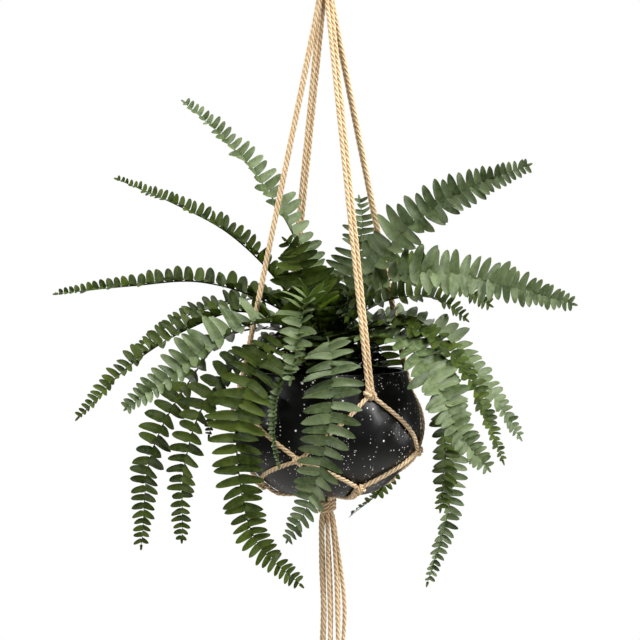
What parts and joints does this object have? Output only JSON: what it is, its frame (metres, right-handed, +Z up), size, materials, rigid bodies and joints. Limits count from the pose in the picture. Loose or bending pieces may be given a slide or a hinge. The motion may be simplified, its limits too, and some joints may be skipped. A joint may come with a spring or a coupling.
{
  "type": "hanging macrame planter",
  "caption": "Rope macrame plant hanger on a metal ring, holding a round ceramic pot with a sword fern in it.",
  "frame": {"origin": "where a hook carries the hanging ring: the top of the ring's hole", "axes": "+Z up along the hanging line, -Y to the front, +X to the right"},
  "size_m": [0.6256, 0.3036, 0.9481],
  "materials": {
    "ring_metal": "satin",
    "jute_rope": "laid jute rope, slightly hairy",
    "pot_glaze": "satin black with white specks",
    "grow_pot_plastic": "matte",
    "potting_soil": "loose and dull",
    "crown_fibre": "fibrous",
    "leaf_green": "satin leaf",
    "leaf_pale": "satin leaf"
  },
  "bodies": {
    "ring": {"hanging_ring": "ring_metal"},
    "sling": {"arm_rope_1": "jute_rope", "arm_rope_2": "jute_rope", "arm_rope_3": "jute_rope", "arm_rope_4": "jute_rope", "back_left_side_knot": "jute_rope", "back_lower_knot": "jute_rope", "back_lower_net": "jute_rope", "back_right_side_knot": "jute_rope", "back_shoulder_knot": "jute_rope", "back_upper_net": "jute_rope", "bottom_knot": "jute_rope", "front_left_side_knot": "jute_rope", "front_lower_knot": "jute_rope", "front_lower_net": "jute_rope", "front_right_side_knot": "jute_rope", "front_shoulder_knot": "jute_rope", "front_upper_net": "jute_rope", "left_lower_knot": "jute_rope", "left_lower_net": "jute_rope", "left_shoulder_knot": "jute_rope", "left_upper_net": "jute_rope", "pot": "pot_glaze", "right_lower_knot": "jute_rope", "right_lower_net": "jute_rope", "right_shoulder_knot": "jute_rope", "right_upper_net": "jute_rope", "top_wrap": "jute_rope"},
    "fern": {"grow_pot": "grow_pot_plastic", "soil": "potting_soil", "fern_crown": "crown_fibre", "frond_front": "leaf_pale", "frond_front_left": "leaf_green", "frond_left_arch": "leaf_green", "frond_left_drop": "leaf_green", "frond_left_hang": "leaf_green", "frond_left_high": "leaf_green", "frond_left_long": "leaf_green", "frond_left_pale": "leaf_pale", "frond_right_arch": "leaf_green", "frond_right_hang": "leaf_green", "frond_right_long": "leaf_green", "frond_right_pale": "leaf_pale", "frond_right_trail": "leaf_green", "frond_top_back": "leaf_pale", "frond_top_left": "leaf_pale", "frond_top_right": "leaf_green", "small_fronds_back": "leaf_green", "small_fronds_centre": "leaf_green", "small_fronds_front": "leaf_pale", "small_fronds_left": "leaf_green", "small_fronds_right": "leaf_green"},
    "tassel": {"tail_back_1": "jute_rope", "tail_back_2": "jute_rope", "tail_back_3": "jute_rope", "tail_back_4": "jute_rope", "tail_front_1": "jute_rope", "tail_front_2": "jute_rope", "tail_front_3": "jute_rope", "tail_front_4": "jute_rope"}
  },
  "joints": [
    {"name": "sling_swing", "type": "hinge", "parent": "ring", "child": "sling", "pos_m": [0, 0, -0.0396], "axis": [1, 0, 0], "range_deg": [-25, 25]},
    {"name": "tassel_swing", "type": "hinge", "parent": "sling", "child": "tassel", "pos_m": [0.002, 0, -0.694], "axis": [0, 1, 0], "range_deg": [-25, 25]},
    {"name": "fern_lift", "type": "slide", "parent": "sling", "child": "fern", "axis": [0, 0, 1], "range_m": [0, 0.04]}
  ]
}
